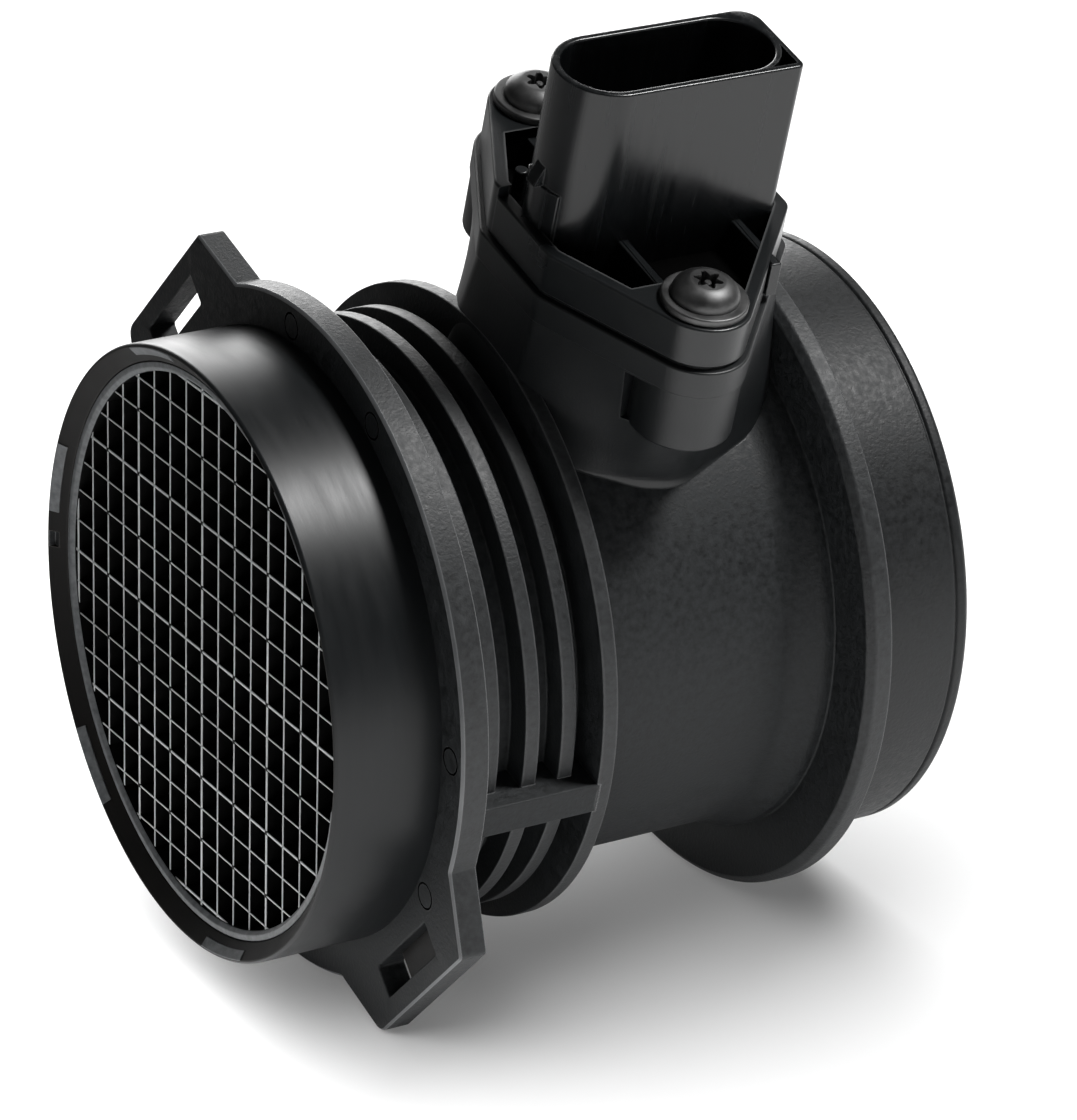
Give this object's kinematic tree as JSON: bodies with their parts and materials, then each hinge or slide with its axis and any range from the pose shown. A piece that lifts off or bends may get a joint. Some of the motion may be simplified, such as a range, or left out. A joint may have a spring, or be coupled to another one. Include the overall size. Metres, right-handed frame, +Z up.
{
  "type": "mass airflow sensor",
  "caption": "Mass airflow sensor: round measuring tube with inlet grid, slotted ears, stop disc and a plug-in sensor with a keyed connector on top.",
  "frame": {"origin": "centre of the inlet mouth, on the tube's axis", "axes": "+X along the air flow from inlet to outlet, +Z up the sensor tower, towards the connector"},
  "size_m": [0.1018, 0.111, 0.139],
  "materials": {
    "measuring_tube": "fine textured black moulding",
    "flow_grid": "grey black moulding",
    "sensor_body": "satin black moulding",
    "flange_screws": "zinc plated",
    "threaded_inserts": "turned",
    "seal_ring": "smooth",
    "electronics_cover": "smooth",
    "bypass_cover": "smooth",
    "carrier_plate": "rolled",
    "circuit_board": "ceramic",
    "board_components": "moulded",
    "bond_wires": "drawn wire",
    "chip_holder": "smooth",
    "sensor_chip": "polished silicon",
    "temperature_bead": "glass coated",
    "temperature_leads": "drawn wire",
    "contact_pin_1": "tin plated",
    "contact_pin_2": "tin plated",
    "contact_pin_3": "tin plated",
    "contact_pin_4": "tin plated",
    "contact_pin_5": "tin plated"
  },
  "bodies": {
    "root": {"measuring_tube": "measuring_tube", "flow_grid": "flow_grid", "sensor_body": "sensor_body", "flange_screws": "flange_screws", "threaded_inserts": "threaded_inserts", "seal_ring": "seal_ring", "electronics_cover": "electronics_cover", "bypass_cover": "bypass_cover", "carrier_plate": "carrier_plate", "circuit_board": "circuit_board", "board_components": "board_components", "bond_wires": "bond_wires", "chip_holder": "chip_holder", "sensor_chip": "sensor_chip", "temperature_bead": "temperature_bead", "temperature_leads": "temperature_leads", "contact_pin_1": "contact_pin_1", "contact_pin_2": "contact_pin_2", "contact_pin_3": "contact_pin_3", "contact_pin_4": "contact_pin_4", "contact_pin_5": "contact_pin_5"}
  },
  "joints": []
}
